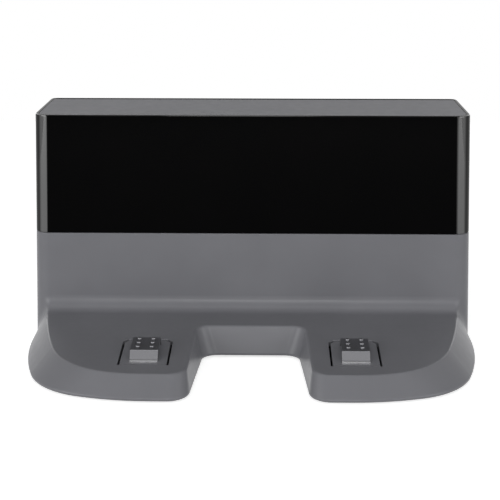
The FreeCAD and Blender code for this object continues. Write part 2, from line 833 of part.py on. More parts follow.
def housing_bosses(body):
    """Ears for the flap pins, and bosses for the base plate, rear cover and eye board."""
    for name, side in SIDES.items():
        for place_name, way in SIDES.items():
            inner = flap_half + dim.ear_gap
            middle = dim.contact_x * side + (inner + dim.ear_thickness / 2) * way
            sketch = new_sketch(body, f"ear_{name}_{place_name}", "YZ_Plane",
                                (middle, tower_front, dim.base_height), tilt=dim.base_slope)
            outline(sketch, box_corners(
                dim.pivot_at - dim.ear_half_length, -dim.pivot_drop - dim.ear_foot,
                dim.pivot_at + dim.ear_half_length, -dim.wall / 2))
            circle(sketch, dim.pivot_at, -dim.pivot_drop, dim.pin_radius + dim.pin_press_gap)
            pad(body, sketch, dim.ear_thickness, both_ways=True)
    for name, x, at, ceiling in plate_screw_rows():
        sketch = new_sketch(body, f"plate_boss_{name}", "XY_Plane", (ZERO, tower_front + at, plate_top))
        circle_pair(sketch, x, ZERO, dim.boss_radius)
        pad(body, sketch, ceiling - plate_top)
    sketch = new_sketch(body, "plate_pilots", "XY_Plane", (ZERO, tower_front, plate_top))
    for _, x, at, _ in plate_screw_rows():
        circle_pair(sketch, x, at, pilot_radius)
    pocket(body, sketch, pilot_depth(dim.plate_thickness - dim.screw_seat_depth), backwards=True)
    for name, z, inset in rear_screw_rows():
        sketch = new_sketch(body, f"rear_post_{name}", "XZ_Plane", (ZERO, seam, z))
        circle_pair(sketch, dim.rear_screw_x, ZERO, dim.post_radius)
        pad(body, sketch, seam_at - inset - dim.wall / 2)
    sketch = new_sketch(body, "rear_pilots", "XZ_Plane", (ZERO, seam, ZERO))
    for _, z, _ in rear_screw_rows():
        circle_pair(sketch, dim.rear_screw_x, z, pilot_radius)
    pocket(body, sketch, pilot_depth(cover_seat()), backwards=True)
    eye_spot = (ZERO, tower_front + eye_face, eye_height)
    sketch = new_sketch(body, "eye_posts", "XZ_Plane", eye_spot)
    circle_pair(sketch, dim.eye_post_x, ZERO, dim.boss_radius)
    pad(body, sketch, dim.board_stand + dim.wall / 2)
    sketch = new_sketch(body, "eye_pilots", "XZ_Plane", eye_spot)
    circle_pair(sketch, dim.eye_post_x, ZERO, pilot_radius)
    pocket(body, sketch, pilot_depth(dim.board_thickness), backwards=True)


def pilot_depth(clamped):
    """Depth of a pilot hole for a screw whose head clamps this much material."""
    return dim.screw_length - clamped + dim.screw_pilot_spare


def cover_seat():
    """Material of the rear cover between a screw head and the seam."""
    return dim.cover_depth - dim.screw_head_height - dim.screw_head_gap


def plate_screw_rows():
    """Each mirrored pair of base plate screws: name, place and the top of its bosses."""
    return [
        ("front", dim.front_screw_x, dim.front_screw_at, base_top(dim.front_screw_at) - dim.wall / 2),
        ("middle", dim.middle_screw_x, dim.middle_screw_at, base_top(dim.middle_screw_at) - dim.wall / 2),
        ("wall", dim.wall_screw_x, dim.wall_screw_at, dim.wall_boss_top)]


def rear_screw_rows():
    """Each mirrored pair of rear cover screws: name, height and inset of the wall behind its posts."""
    high = dim.total_height - dim.rear_screw_drop
    return [("low", dim.rear_screw_low, ZERO), ("high", high, window_recess)]


def ir_window():
    """Glossy cover round the upper tower, clear to infrared light only."""
    body = new_body("ir_window")
    low = dim.window_sill + dim.window_seat_gap
    band_form(body, "AdditiveLoft", "band", ZERO, dim.window_thickness, low, dim.total_height,
              seam_at - dim.seam_gap)
    soften(body, "Fillet", lambda points: all(close(point.z, dim.total_height.value) for point in points)
           and all(on_tower_skin(point) for point in points), dim.window_edge_radius, "top_round")
    soften(body, "Fillet", lambda points: all(close(point.z, low.value) for point in points)
           and all(on_tower_skin(point) for point in points), dim.window_low_round, "low_round")
    return body


def rear_cover():
    """Black cover over the back of the tower, with the inlet opening and the board posts."""
    body = new_body("rear_cover")
    sketches = []
    for level, height in (("low", rim), ("high", dim.total_height)):
        sketch = new_sketch(body, level, "XY_Plane", (ZERO, seam, height))
        half = half_width(height)
        outline(sketch, [(-half, ZERO), (half, ZERO), (half, dim.cover_depth, dim.cover_corner_radius),
                         (-half, dim.cover_depth, dim.cover_corner_radius)])
        sketches.append(sketch)
    loft(body, "AdditiveLoft", *sketches)
    soften(body, "Fillet", lambda points: all(close(point.z, dim.total_height.value) for point in points)
           and not all(close(point.y, seam.value) for point in points), dim.cover_edge_radius, "top_round")
    soften(body, "Fillet", lambda points: all(close(point.z, rim.value) for point in points)
           and not all(close(point.y, seam.value) for point in points), dim.rim_radius, "rim_round")
    low, high = rim + dim.wall, dim.total_height - dim.wall
    sketch = new_sketch(body, "room", "XZ_Plane", (ZERO, seam, ZERO))
    outline(sketch, [
        (dim.wall - half_width(low), low, dim.cover_pocket_radius),
        (half_width(low) - dim.wall, low, dim.cover_pocket_radius),
        (half_width(high) - dim.wall, high, dim.cover_pocket_radius),
        (dim.wall - half_width(high), high, dim.cover_pocket_radius)])
    pocket(body, sketch, dim.cover_depth - dim.wall)
    for name, radius, kind, length, level in (
            ("bosses", dim.post_radius + dim.screw_head_gap, pad, dim.cover_depth - dim.wall / 2, seam),
            ("holes", pass_radius, pocket, dim.cover_depth, seam),
            ("seats", head_seat_radius, pocket, dim.cover_depth - cover_seat(), seam + cover_seat())):
        sketch = new_sketch(body, f"screw_{name}", "XZ_Plane", (ZERO, level, ZERO))
        for _, z, _ in rear_screw_rows():
            circle_pair(sketch, dim.rear_screw_x, z, radius)
        kind(body, sketch, length, backwards=kind is pad)
    stand = seam - dim.supply_stand
    post_length = dim.supply_stand + dim.cover_depth - dim.wall / 2
    for name, radius, kind, length in (
            ("posts", dim.supply_post_radius, pad, post_length),
            ("pilots", pilot_radius, pocket, pilot_depth(dim.board_thickness))):
        sketch = new_sketch(body, f"board_{name}", "XZ_Plane", (ZERO, stand, dim.supply_height))
        for rise in supply_screw_rises():
            circle_pair(sketch, supply_screw_x, rise, radius)
        kind(body, sketch, length, backwards=kind is pad)
    sketch = new_sketch(body, "inlet_opening", "XZ_Plane", (dim.inlet_x, seam, dim.inlet_height))
    half_x = dim.inlet_half_width + dim.inlet_fit_gap
    half_z = dim.inlet_half_height + dim.inlet_fit_gap
    radius = dim.inlet_corner_radius + dim.inlet_fit_gap
    outline(sketch, box_corners(-half_x, -half_z, half_x, half_z, radius))
    pocket(body, sketch, dim.cover_depth)
    vents(body)
    return body


def vents(body):
    """Row of round-ended vent slots above the supply board."""
    sketch = new_sketch(body, "vent", "XZ_Plane", (-dim.vent_row / 2, seam, dim.vent_height))
    outline(sketch, box_corners(-dim.vent_half_width, -dim.vent_half_height, dim.vent_half_width,
                                dim.vent_half_height, dim.vent_round))
    slot = pocket(body, sketch, dim.cover_depth)
    row = body.newObject("PartDesign::LinearPattern", "vent_row")
    row.Originals = [slot]
    row.Direction = (sketch, ["H_Axis"])
    row.setExpression("Length", dim.vent_row.text)
    row.setExpression("Occurrences", dim.vent_count.text)
    body.Tip = row
    doc.recompute()


def supply_screw_rises():
    """Heights of the supply board's screws about the middle of the board."""
    rise = dim.supply_half_height - dim.supply_hole_inset
    return [rise * side for side in SIDES.values()]


def base_plate():
    """Bottom cover, with foot seats, screw holes and the posts that stop the flaps."""
    body = new_body("base_plate")
    sketch = new_sketch(body, "sheet", "XY_Plane", (ZERO, tower_front, plate_low))
    inset = dim.skirt_wall_low + dim.plate_gap
    base_line(sketch, PLATE_LINE, inset, seam_at - dim.seam_gap, straight_tail=True)
    pad(body, sketch, dim.plate_thickness)
    sketch = new_sketch(body, "foot_seats", "XY_Plane", (ZERO, tower_front, plate_low))
    for _, x, at in foot_places():
        circle(sketch, x, at, dim.foot_radius + dim.foot_seat_gap)
    pocket(body, sketch, dim.foot_seat_depth, backwards=True)
    for name, radius, depth in (("holes", pass_radius, dim.plate_thickness),
                                ("head_seats", head_seat_radius, dim.screw_seat_depth)):
        sketch = new_sketch(body, f"screw_{name}", "XY_Plane", (ZERO, tower_front, plate_low))
        for _, x, at, _ in plate_screw_rows():
            circle_pair(sketch, x, at, radius)
        pocket(body, sketch, depth, backwards=True)
    sketch = new_sketch(body, "flap_stops", "XY_Plane", (ZERO, tower_front, plate_top))
    for way in SIDES.values():
        circle_pair(sketch, dim.contact_x + dim.catch_x * way, dim.stop_at, dim.stop_radius)
    pad(body, sketch, dim.stop_top - plate_top)
    sketch = new_sketch(body, "leaf_pegs", "XY_Plane", (ZERO, tower_front, plate_top))
    circle_pair(sketch, dim.contact_x, dim.peg_at, dim.peg_radius)
    pad(body, sketch, dim.leaf_thickness + dim.peg_head)
    return body


def foot_places():
    """Name and place of each rubber foot."""
    places = []
    for name, side in SIDES.items():
        places.append((f"front_{name}", dim.foot_front_x * side, dim.foot_front_at))
        places.append((f"rear_{name}", dim.foot_rear_x * side, dim.foot_rear_at))
    return places


def foot(name, x, at):
    """Round rubber foot, turned, that stands out below the base plate."""
    body = new_body(f"foot_{name}")
    sketch = new_sketch(body, "half", "XZ_Plane", (x, tower_front + at, ZERO))
    top = plate_low + dim.foot_seat_depth
    outline(sketch, [(ZERO, ZERO), (dim.foot_radius, ZERO, dim.foot_edge_radius),
                     (dim.foot_radius, top), (ZERO, top)])
    revolve(body, sketch)
    return body


def slope_spot(x, rise=ZERO):
    """Point above the tower foot, the given rise out of the sloping top."""
    return x, tower_front - rise * sine(dim.base_slope), dim.base_height + rise * cosine(dim.base_slope)


def contact_rocker(name, side):
    """Flap of the base's top that carries a contact and tips down at the rear."""
    body = new_body(f"contact_rocker_{name}")
    centre = slope_spot(dim.contact_x * side)
    inside = -dim.flap_thickness / 2
    cut = dim.flap_corner_cut
    sketch = new_sketch(body, "flap", "XY_Plane", centre, tilt=dim.base_slope)
    outline(sketch, [
        (-flap_half, dim.flap_front), (flap_half, dim.flap_front),
        (flap_half, dim.flap_rear - cut), (flap_half - cut, dim.flap_rear),
        (cut - flap_half, dim.flap_rear), (-flap_half, dim.flap_rear - cut)])
    pad(body, sketch, dim.flap_thickness, backwards=True)
    soften(body, "Fillet", lambda points: all(close(rise_of(point), 0) for point in points)
           and not all(close(run_of(point), dim.flap_front.value) for point in points),
           dim.flap_edge_radius, "edge_round")
    inset = dim.sheet + dim.contact_seat_gap
    top = dim.contact_rise - inset
    bend = dim.sheet_bend - dim.sheet
    sketch = new_sketch(body, "block", "YZ_Plane", centre, tilt=dim.base_slope)
    outline(sketch, [
        (dim.contact_foot + inset, inside), (dim.contact_rear - inset, inside),
        (dim.contact_rear - inset, top, bend), (dim.contact_front + inset, top, bend),
        (dim.contact_foot + inset, ZERO)])
    pad(body, sketch, dim.contact_width - dim.block_side_inset * 2, both_ways=True)
    sketch = new_sketch(body, "hinge_web", "YZ_Plane", centre, tilt=dim.base_slope)
    outline(sketch, [
        (dim.pivot_at, -dim.pivot_drop - dim.barrel_radius / 2),
        (dim.flap_front + dim.barrel_radius * 2, inside),
        (dim.flap_front, inside), (dim.flap_front, -dim.wall - dim.catch_gap),
        (dim.pivot_at, -dim.pivot_drop + dim.barrel_radius / 2)])
    pad(body, sketch, dim.flap_width, both_ways=True)
    sketch = new_sketch(body, "barrel", "YZ_Plane", centre, tilt=dim.base_slope)
    circle(sketch, dim.pivot_at, -dim.pivot_drop, dim.barrel_radius)
    pad(body, sketch, dim.flap_width, both_ways=True)
    sketch = new_sketch(body, "bore", "YZ_Plane", centre, tilt=dim.base_slope)
    circle(sketch, dim.pivot_at, -dim.pivot_drop, dim.pin_radius + dim.pin_run_gap)
    pocket(body, sketch, dim.flap_width + dim.cut_margin, both_ways=True)
    root = dim.flap_rear - cut
    high = -dim.wall - dim.catch_gap
    low = high - dim.catch_height
    for place_name, way in SIDES.items():
        spot = slope_spot(dim.contact_x * side + dim.catch_x * way)
        sketch = new_sketch(body, f"catch_{place_name}", "YZ_Plane", spot, tilt=dim.base_slope)
        outline(sketch, [
            (root - dim.catch_root, inside), (root, inside), (root, high), (root + dim.catch_length, high),
            (root + dim.catch_length, low), (root - dim.catch_root, low)])
        pad(body, sketch, dim.catch_width, both_ways=True)
    slot_half = dim.contact_width / 2 + dim.contact_seat_gap
    sketch = new_sketch(body, "leg_slot", "XY_Plane", centre, tilt=dim.base_slope)
    outline(sketch, box_corners(-slot_half, dim.contact_rear - inset, slot_half,
                                dim.contact_rear + dim.contact_seat_gap))
    pocket(body, sketch, dim.flap_thickness)
    return body


def contact_plate(name, side):
    """Plated sheet bent over the flap's block, with raised bumps on top."""
    body = new_body(f"contact_plate_{name}")
    inner_bend = dim.sheet_bend - dim.sheet
    low = dim.contact_seat_gap
    under = dim.contact_rise - dim.sheet
    leg_end = -dim.flap_thickness
    flange_end = dim.contact_foot - dim.contact_flange
    sketch = new_sketch(body, "strip", "YZ_Plane", slope_spot(dim.contact_x * side), tilt=dim.base_slope)
    outline(sketch, [
        (flange_end, low + dim.sheet), (flange_end, low),
        (dim.contact_foot + dim.sheet, low), (dim.contact_front + dim.sheet, under, inner_bend),
        (dim.contact_rear - dim.sheet, under, inner_bend), (dim.contact_rear - dim.sheet, leg_end),
        (dim.contact_rear, leg_end), (dim.contact_rear, dim.contact_rise, dim.sheet_bend),
        (dim.contact_front, dim.contact_rise, dim.sheet_bend), (dim.contact_foot, low + dim.sheet)])
    pad(body, sketch, dim.contact_width, both_ways=True)
    sketch = new_sketch(body, "bumps", "XY_Plane", slope_spot(dim.contact_x * side, under + dim.sheet / 2),
                        tilt=dim.base_slope)
    for row in (-1, 0, 1):
        circle_pair(sketch, dim.bump_x, dim.bump_middle + dim.bump_pitch * row, dim.bump_radius)
    pad(body, sketch, dim.bump_height + dim.sheet / 2)
    bump_top = dim.contact_rise + dim.bump_height
    soften(body, "Fillet", lambda points: all(close(rise_of(point), bump_top.value) for point in points),
           dim.bump_round, "bump_round")
    return body


def rise_of(point):
    """Height of a point above the sloping top, square to it."""
    slope = math.radians(dim.base_slope.value)
    up, behind = point.z - dim.base_height.value, point.y - tower_front.value
    return up * math.cos(slope) - behind * math.sin(slope)


def run_of(point):
    """Distance of a point behind the tower front, along the sloping top."""
    slope = math.radians(dim.base_slope.value)
    up, behind = point.z - dim.base_height.value, point.y - tower_front.value
    return behind * math.cos(slope) + up * math.sin(slope)


def rocker_pin(name, side):
    """Steel pin that a flap turns on, pressed into the housing's ears."""
    body = new_body(f"rocker_pin_{name}")
    sketch = new_sketch(body, "round", "YZ_Plane", slope_spot(dim.contact_x * side), tilt=dim.base_slope)
    circle(sketch, dim.pivot_at, -dim.pivot_drop, dim.pin_radius)
    pad(body, sketch, dim.flap_width + (dim.ear_gap + dim.ear_thickness) * 2, both_ways=True)
    return body


def leaf_spring(name, side):
    """Bent strip on the base plate that lifts a flap and feeds its contact."""
    body = new_body(f"leaf_spring_{name}")
    thickness = dim.leaf_thickness
    flap_low = base_top(dim.leaf_nose) - dim.flap_thickness / cosine(dim.base_slope)
    nose_top = flap_low - dim.leaf_gap - plate_top
    nose = nose_top - thickness
    end = nose - dim.leaf_end_drop
    sketch = new_sketch(body, "strip", "YZ_Plane", (dim.contact_x * side, tower_front, plate_top))
    outline(sketch, [
        (dim.leaf_tail, ZERO), (dim.leaf_tail, thickness), (dim.leaf_bend, thickness, dim.leaf_radius),
        (dim.leaf_nose, nose_top, dim.leaf_radius + thickness), (dim.leaf_end, end + thickness),
        (dim.leaf_end, end), (dim.leaf_nose, nose, dim.leaf_radius),
        (dim.leaf_bend, ZERO, dim.leaf_radius + thickness)])
    pad(body, sketch, dim.leaf_width, both_ways=True)
    peg_foot = (dim.contact_x * side, tower_front + dim.peg_at, plate_top)
    sketch = new_sketch(body, "peg_hole", "XY_Plane", peg_foot)
    circle(sketch, ZERO, ZERO, dim.peg_radius + dim.peg_gap)
    pocket(body, sketch, thickness, backwards=True)
    return body


def eye_board():
    """Circuit board behind the window that carries the infrared emitters."""
    body = new_body("ir_board")
    sketch = new_sketch(body, "sheet", "XZ_Plane", (ZERO, tower_front + eye_face, eye_height))
    outline(sketch, box_corners(-dim.eye_board_half_width, -dim.eye_board_half_height,
                                dim.eye_board_half_width, dim.eye_board_half_height))
    circle_pair(sketch, dim.eye_post_x, ZERO, pass_radius)
    pad(body, sketch, dim.board_thickness, backwards=True)
    return body


def emitter_places():
    """Name and sideways place of each infrared emitter."""
    places = {}
    for name, side in SIDES.items():
        places[f"near_{name}"] = dim.eye_near_x * side
        places[f"far_{name}"] = dim.eye_far_x * side
    return places


def emitter(name, x):
    """Domed infrared emitter on the eye board, facing the robot."""
    body = new_body(f"emitter_{name}")
    shoulder = -dim.emitter_flange
    tip = shoulder - dim.emitter_barrel - dim.emitter_radius
    sketch = new_sketch(body, "half", "XY_Plane", (x, tower_front + eye_face, eye_height))
    outline(sketch, [
        (ZERO, ZERO), (dim.emitter_flange_radius, ZERO), (dim.emitter_flange_radius, shoulder),
        (dim.emitter_radius, shoulder), (dim.emitter_radius, tip, dim.emitter_dome), (ZERO, tip)])
    revolve(body, sketch)
    return body


def emitter_shroud():
    """Block in the eye opening whose flared bores shape the emitters' beams."""
    body = new_body("emitter_shroud")
    half_x = dim.aperture_half_width - dim.shroud_gap
    half_z = dim.aperture_half_height - dim.shroud_gap
    lip_x = dim.aperture_half_width + dim.shroud_lip
    lip_z = dim.aperture_half_height + dim.shroud_lip
    for name, start, length, x, z in (
            ("block", window_recess, eye_face - window_recess - dim.component_gap, half_x, half_z),
            ("lip", upper_inset, dim.shroud_lip_thickness, lip_x, lip_z)):
        sketch = new_sketch(body, name, "XZ_Plane", (ZERO, tower_front + start, eye_height))
        outline(sketch, box_corners(-x, -z, x, z, dim.aperture_radius - dim.shroud_gap))
        pad(body, sketch, length, backwards=True)
    for name, radius, depth in (("bores", dim.emitter_flange_radius + dim.shroud_bore_gap, eye_face),
                                ("mouths", dim.shroud_mouth_radius, dim.shroud_mouth_depth)):
        sketch = new_sketch(body, name, "XZ_Plane", (ZERO, tower_front + window_recess, eye_height))
        for x in emitter_places().values():
            circle(sketch, x, ZERO, radius)
        pocket(body, sketch, depth)
    return body


def supply_board():
    """Circuit board of the mains supply, on posts inside the rear cover."""
    body = new_body("supply_board")
    spot = (ZERO, seam - dim.supply_stand, dim.supply_height)
    sketch = new_sketch(body, "sheet", "XZ_Plane", spot)
    outline(sketch, box_corners(-dim.supply_half_width, -dim.supply_half_height,
                                dim.supply_half_width, dim.supply_half_height))
    for rise in supply_screw_rises():
        circle_pair(sketch, supply_screw_x, rise, pass_radius)
    pad(body, sketch, dim.board_thickness)
    return body


def transformer_core():
    """Ferrite core with a window on each side of its middle leg."""
    body = new_body("transformer_core")
    middle = tower_front + supply_face - dim.winding_half_depth - dim.component_gap
    half_x = dim.core_leg * 2 + dim.core_window
    sketch = new_sketch(body, "frame", "XZ_Plane", (dim.transformer_x, middle, dim.supply_height))
    outline(sketch, box_corners(-half_x, -dim.core_half_height, half_x, dim.core_half_height))
    window_half = dim.core_half_height - dim.core_leg
    for way in SIDES.values():
        inner = dim.core_leg * way
        outer = (dim.core_leg + dim.core_window) * way
        low, high = (inner, outer) if way.value > 0 else (outer, inner)
        outline(sketch, box_corners(low, -window_half, high, window_half))
    pad(body, sketch, dim.core_depth, both_ways=True)
    return body


def transformer_winding():
    """Taped coil round the middle leg of the core."""
    body = new_body("transformer_winding")
    middle = tower_front + supply_face - dim.winding_half_depth - dim.component_gap
    sketch = new_sketch(body, "ring", "XY_Plane", (dim.transformer_x, middle, dim.supply_height))
    outer_x = dim.core_leg + dim.core_window - dim.winding_gap
    inner_x = dim.core_leg + dim.component_gap
    inner_y = dim.core_depth / 2 + dim.component_gap
    outline(sketch, box_corners(-outer_x, -dim.winding_half_depth, outer_x, dim.winding_half_depth,
                                dim.winding_round))
    outline(sketch, box_corners(-inner_x, -inner_y, inner_x, inner_y))
    window_height = (dim.core_half_height - dim.core_leg) * 2
    pad(body, sketch, window_height - dim.component_gap * 2, both_ways=True)
    return body


def can_capacitor(label, x, radius, length):
    """Electrolytic capacitor with a rolled groove above its seal."""
    body = new_body(label)
    groove = dim.capacitor_groove
    sketch = new_sketch(body, "half", "XY_Plane", (x, tower_front + supply_face, dim.supply_height))
    outline(sketch, [
        (ZERO, ZERO), (radius, ZERO), (radius, -dim.capacitor_seal),
        (radius - groove, -dim.capacitor_seal - groove), (radius, -dim.capacitor_seal - groove * 2),
        (radius, -length, dim.capacitor_round), (ZERO, -length)])
    revolve(body, sketch)
    return body


def choke():
    """Drum choke, standing on the supply board."""
    body = new_body("choke")
    sketch = new_sketch(body, "half", "XY_Plane", (dim.choke_x, tower_front + supply_face, dim.supply_height))
    outline(sketch, [
        (ZERO, ZERO), (dim.choke_radius, ZERO), (dim.choke_radius, -dim.choke_flange),
        (dim.choke_waist, -dim.choke_flange), (dim.choke_waist, dim.choke_flange - dim.choke_length),
        (dim.choke_radius, dim.choke_flange - dim.choke_length), (dim.choke_radius, -dim.choke_length),
        (ZERO, -dim.choke_length)])
    revolve(body, sketch)
    return body


def fuse():
    """Glass fuse with metal end caps, lying along the supply board."""
    body = new_body("fuse")
    axis_at = supply_face - dim.fuse_radius - dim.component_gap
    sketch = new_sketch(body, "half", "XY_Plane", (dim.fuse_x, tower_front + axis_at, dim.fuse_height))
    end = dim.fuse_half_length
    cap = dim.fuse_half_length - dim.fuse_cap
    outline(sketch, [
        (-end, ZERO), (end, ZERO), (end, dim.fuse_radius), (cap, dim.fuse_radius), (cap, dim.fuse_waist),
        (-cap, dim.fuse_waist), (-cap, dim.fuse_radius), (-end, dim.fuse_radius)])
    revolve(body, sketch, axis="H_Axis")
    return body


def mains_inlet():
    """Two-pole appliance inlet, flush with the back of the rear cover."""
    body = new_body("mains_inlet")
    face = back - dim.inlet_recess
    for name, start, length, grow in (
            ("shell", face, dim.inlet_depth, ZERO),
            ("flange", back - dim.wall - dim.inlet_fit_gap, dim.inlet_flange_thickness, dim.inlet_flange)):
        half_x = dim.inlet_half_width + grow
        half_z = dim.inlet_half_height + grow
        sketch = new_sketch(body, name, "XZ_Plane", (dim.inlet_x, start, dim.inlet_height))
        outline(sketch, box_corners(-half_x, -half_z, half_x, half_z, dim.inlet_corner_radius))
        pad(body, sketch, length)
    half_x, half_z = dim.inlet_socket_half_width, dim.inlet_socket_half_height
    sketch = new_sketch(body, "socket", "XZ_Plane", (dim.inlet_x, face, dim.inlet_height))
    outline(sketch, box_corners(-half_x, -half_z, half_x, half_z, dim.inlet_socket_radius))
    pocket(body, sketch, dim.inlet_socket_depth, backwards=True)
    sketch = new_sketch(body, "pin_holes", "XZ_Plane", (dim.inlet_x, face, dim.inlet_height))
    circle_pair(sketch, dim.inlet_pin_x, ZERO, dim.inlet_pin_radius + dim.pin_press_gap)
    pocket(body, sketch, dim.inlet_depth, backwards=True)
    return body


def inlet_pins():
    """Pair of contact pins through the floor of the inlet's socket."""
    body = new_body("inlet_pins")
    tip = back - dim.inlet_recess - dim.inlet_socket_depth + dim.inlet_pin_reach
    sketch = new_sketch(body, "rounds", "XZ_Plane", (dim.inlet_x, tip, dim.inlet_height))
    circle_pair(sketch, dim.inlet_pin_x, ZERO, dim.inlet_pin_radius)
    pad(body, sketch, tip - tab_end)
    soften(body, "Fillet", lambda points: all(close(point.y, tip.value) for point in points),
           dim.inlet_pin_round, "tip_round")
    return body


def lead(label, plane, start, corners):
    """Insulated lead along a path of straight runs with rounded bends."""
    body = new_body(label)
    path = new_sketch(body, "path", plane, start)
    open_path(path, corners, dim.lead_bend)
    section = new_sketch(body, "section", "XZ_Plane", start)
    circle(section, ZERO, ZERO, dim.lead_radius)
    feature = body.newObject("PartDesign::AdditivePipe", f"{label}_pipe")
    feature.Profile = section
    doc.recompute()
    feature.Spine = (path, [f"Edge{number}" for number in range(1, len(path.Shape.Edges) + 1)])
    doc.recompute()
    return body


def leads():
    """Contact leads, the lead to the eye board, and the pair from the inlet."""
    made = []
    level = plate_top + dim.leaf_thickness + dim.lead_rest_gap + dim.lead_radius
    run_end = dim.lead_rise_at - dim.lead_start
    for name, side in SIDES.items():
        start = (dim.contact_x * side, tower_front + dim.lead_start, level)
        rise = dim.contact_lead_end - level
        made.append(lead(f"contact_lead_{name}", "YZ_Plane", start, [
            (ZERO, ZERO), (run_end, ZERO), (run_end, rise), (supply_face - dim.lead_start, rise)]))
    start = (dim.signal_lead_x, tower_front + supply_face, dim.signal_lead_start)
    run = dim.signal_lead_at - supply_face
    rise = eye_height - dim.signal_lead_drop - dim.signal_lead_start
    eye_back = eye_face + dim.board_thickness - supply_face
    made.append(lead("signal_lead", "YZ_Plane", start, [
        (ZERO, ZERO), (run, ZERO), (run, rise), (eye_back, rise)]))
    for name, side, depth, end in (
            ("near", SIDES["left"], dim.inlet_lead_inner_at, dim.inlet_lead_inner_x),
            ("far", SIDES["right"], dim.inlet_lead_outer_at, dim.inlet_lead_outer_x)):
        x = dim.inlet_x + dim.inlet_pin_x * side
        start = (x, tab_end, dim.inlet_height)
        run = tower_front + depth - tab_end
        made.append(lead(f"inlet_lead_{name}", "XY_Plane", start, [
            (ZERO, ZERO), (ZERO, run), (end - x, run), (end - x, tower_front + supply_face - tab_end)]))
    return made


def screw(body, name, plane, spot, way):
    """Pan-head screw, turned, whose shank starts at the spot and runs the given way."""
    sketch = new_sketch(body, name, plane, spot)
    head_top = -dim.screw_head_height * way
    tip = dim.screw_length * way
    neck = (dim.screw_length - dim.screw_shank_radius) * way
    outline(sketch, [
        (ZERO, head_top), (dim.screw_head_radius, head_top, dim.screw_head_round),
        (dim.screw_head_radius, ZERO), (dim.screw_shank_radius, ZERO), (dim.screw_shank_radius, neck),
        (dim.screw_shank_radius / 2, tip), (ZERO, tip)])
    revolve(body, sketch)


def cross_recesses(body, name, plane, level, places, backwards):
    """Cross-shaped driver recesses in the tops of a row of screw heads."""
    sketch = new_sketch(body, name, plane, level)
    long, short = dim.recess_half_length, dim.recess_half_width
    for x, y in places:
        outline(sketch, [
            (x + short, y + short), (x + short, y + long), (x - short, y + long), (x - short, y + short),
            (x - long, y + short), (x - long, y - short), (x - short, y - short), (x - short, y - long),
            (x + short, y - long), (x + short, y - short), (x + long, y - short), (x + long, y + short)])
    pocket(body, sketch, dim.recess_depth, backwards=backwards)


def base_screws():
    """Screws that hold the base plate, driven from below."""
    body = new_body("base_screws")
    seat = plate_low + dim.screw_seat_depth
    places = []
    for name, x, at, _ in plate_screw_rows():
        for side_name, side in SIDES.items():
            places.append((x * side, at))
            screw(body, f"{name}_{side_name}", "XZ_Plane", (x * side, tower_front + at, seat), SIDES["right"])
    level = (ZERO, tower_front, seat - dim.screw_head_height)
    cross_recesses(body, "base_recesses", "XY_Plane", level, places, backwards=True)
    return body


def rear_screws():
    """Screws that hold the rear cover, driven from behind."""
    body = new_body("rear_screws")
    seat = seam + cover_seat()
    places = []
    for name, z, _ in rear_screw_rows():
        for side_name, side in SIDES.items():
            places.append((dim.rear_screw_x * side, z))
            screw(body, f"{name}_{side_name}", "XY_Plane", (dim.rear_screw_x * side, seat, z), SIDES["left"])
    level = (ZERO, seat + dim.screw_head_height, ZERO)
    cross_recesses(body, "rear_recesses", "XZ_Plane", level, places, backwards=True)
    return body


def board_screws():
    """Screws that hold the two circuit boards."""
    body = new_body("board_screws")
    for side_name, side in SIDES.items():
        spot = (dim.eye_post_x * side, tower_front + eye_face + dim.board_thickness, eye_height)
        screw(body, f"eye_{side_name}", "XY_Plane", spot, SIDES["left"])
        for rise_name, rise in zip(("low", "high"), supply_screw_rises()):
            spot = (supply_screw_x * side, tower_front + supply_face, dim.supply_height + rise)
            screw(body, f"supply_{rise_name}_{side_name}", "XY_Plane", spot, SIDES["right"])
    return body


PIECES = [front_housing(), ir_window(), rear_cover(), base_plate()]
for foot_name, foot_x, foot_at in foot_places():
    PIECES.append(foot(foot_name, foot_x, foot_at))
for make in (contact_rocker, contact_plate, rocker_pin, leaf_spring):
    for side_name, side_sign in SIDES.items():
        PIECES.append(make(side_name, side_sign))
for emitter_name, emitter_x in emitter_places().items():
    PIECES.append(emitter(emitter_name, emitter_x))
PIECES += [eye_board(), emitter_shroud(), supply_board(), transformer_core(), transformer_winding()]
PIECES.append(can_capacitor("mains_capacitor", dim.mains_capacitor_x, dim.mains_capacitor_radius,
                            dim.mains_capacitor_length))
PIECES.append(can_capacitor("output_capacitor", dim.output_capacitor_x, dim.output_capacitor_radius,
                            dim.output_capacitor_length))
PIECES += [choke(), fuse(), mains_inlet(), inlet_pins(), *leads()]
PIECES += [base_screws(), rear_screws(), board_screws()]

doc.recompute()
faults = [item.Name for item in doc.Objects if {"Invalid", "Error"} & set(item.State)]
faults += [piece.Label for piece in PIECES if piece.Shape.isNull() or not piece.Shape.isValid()]
if faults:
    raise RuntimeError(f"These objects failed: {', '.join(faults)}")

os.makedirs("parts", exist_ok=True)
for piece in PIECES:
    piece.Shape.exportStep(f"parts/{piece.Label}.step")
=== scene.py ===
"""Studio scene of the charging dock: finishes for its pieces, soft light and the photograph's camera."""
import json
import math

